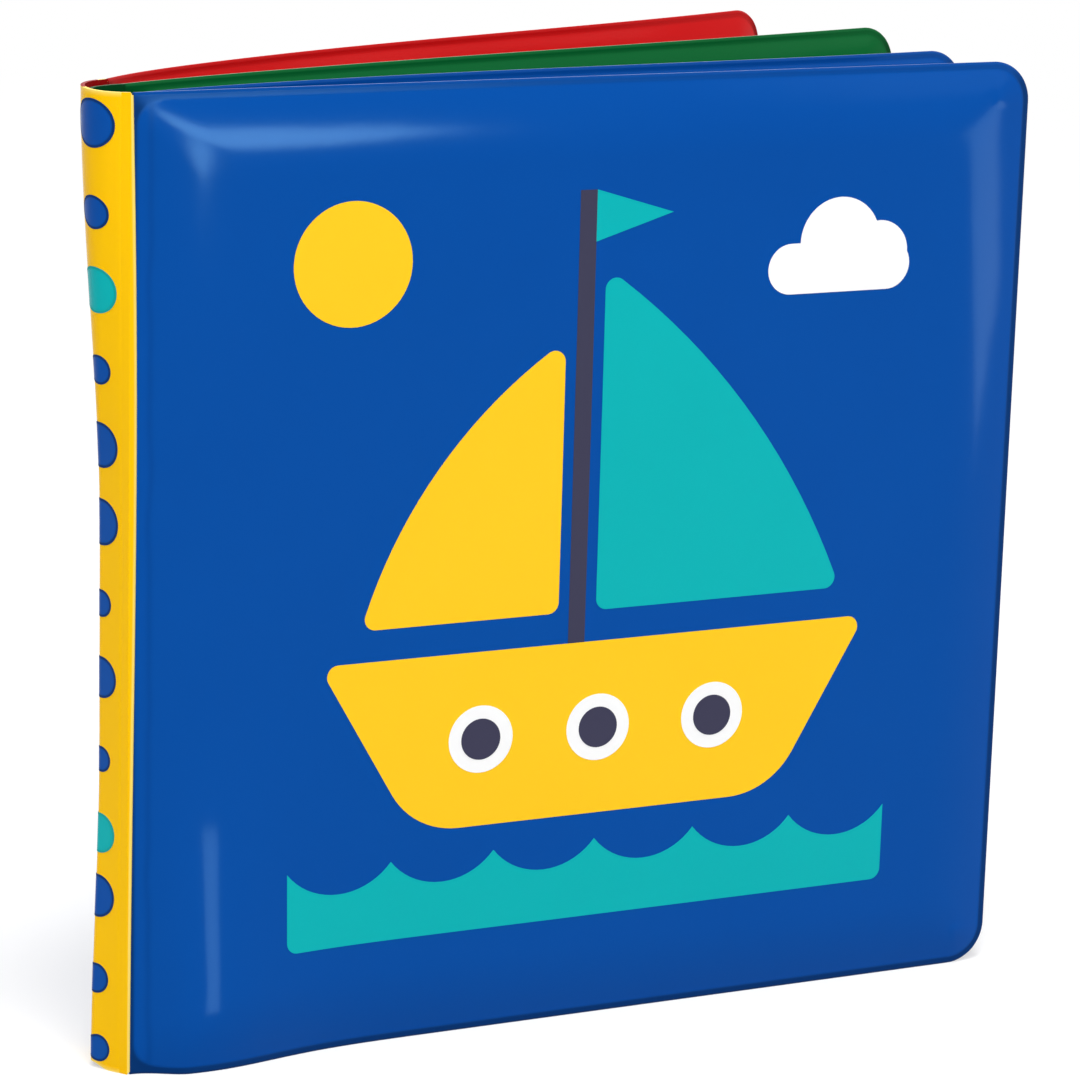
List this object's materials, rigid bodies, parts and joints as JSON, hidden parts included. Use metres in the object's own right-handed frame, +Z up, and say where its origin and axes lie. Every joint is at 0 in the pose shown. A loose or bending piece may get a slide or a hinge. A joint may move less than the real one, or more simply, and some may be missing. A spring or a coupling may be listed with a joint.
{
  "type": "bath book",
  "caption": "Small square padded bath book with a rounded spine, hinged covers and folded inner leaves, standing slightly fanned.",
  "frame": {"origin": "the middle of the spine's film at floor level", "axes": "+X from the spine to the fore edge along the front cover, -Y out of the front cover, +Z up"},
  "size_m": [0.1548, 0.0716, 0.15],
  "materials": {
    "front_cover_film": "glossy welded vinyl film over foam",
    "back_cover_film": "glossy welded vinyl film over foam, red inside and blue outside",
    "page_film": "glossy welded vinyl film over foam, blue, green and red page sides",
    "spine_film": "glossy vinyl film",
    "ink_blue": "printed ink under gloss",
    "ink_teal": "printed ink under gloss",
    "ink_yellow": "printed ink under gloss",
    "ink_white": "printed ink under gloss",
    "ink_navy": "printed ink under gloss"
  },
  "bodies": {
    "spine": {"spine": "spine_film", "inner_pages": "page_film", "spine_dots_blue": "ink_blue", "spine_dots_teal": "ink_teal"},
    "front_cover": {"front_cover": "front_cover_film", "front_print_yellow": "ink_yellow", "front_print_teal": "ink_teal", "front_print_white": "ink_white", "front_print_navy": "ink_navy"},
    "back_cover": {"back_cover": "back_cover_film"}
  },
  "joints": [
    {"name": "front_cover_hinge", "type": "hinge", "parent": "spine", "child": "front_cover", "pos_m": [0.0044, -0.0054, 0.075], "axis": [0, 0, -1], "range_deg": [-5.5, 130]},
    {"name": "back_cover_hinge", "type": "hinge", "parent": "spine", "child": "back_cover", "pos_m": [0.0044, 0.0054, 0.075], "axis": [0, 0, 1], "range_deg": [-10.3, 100]}
  ]
}
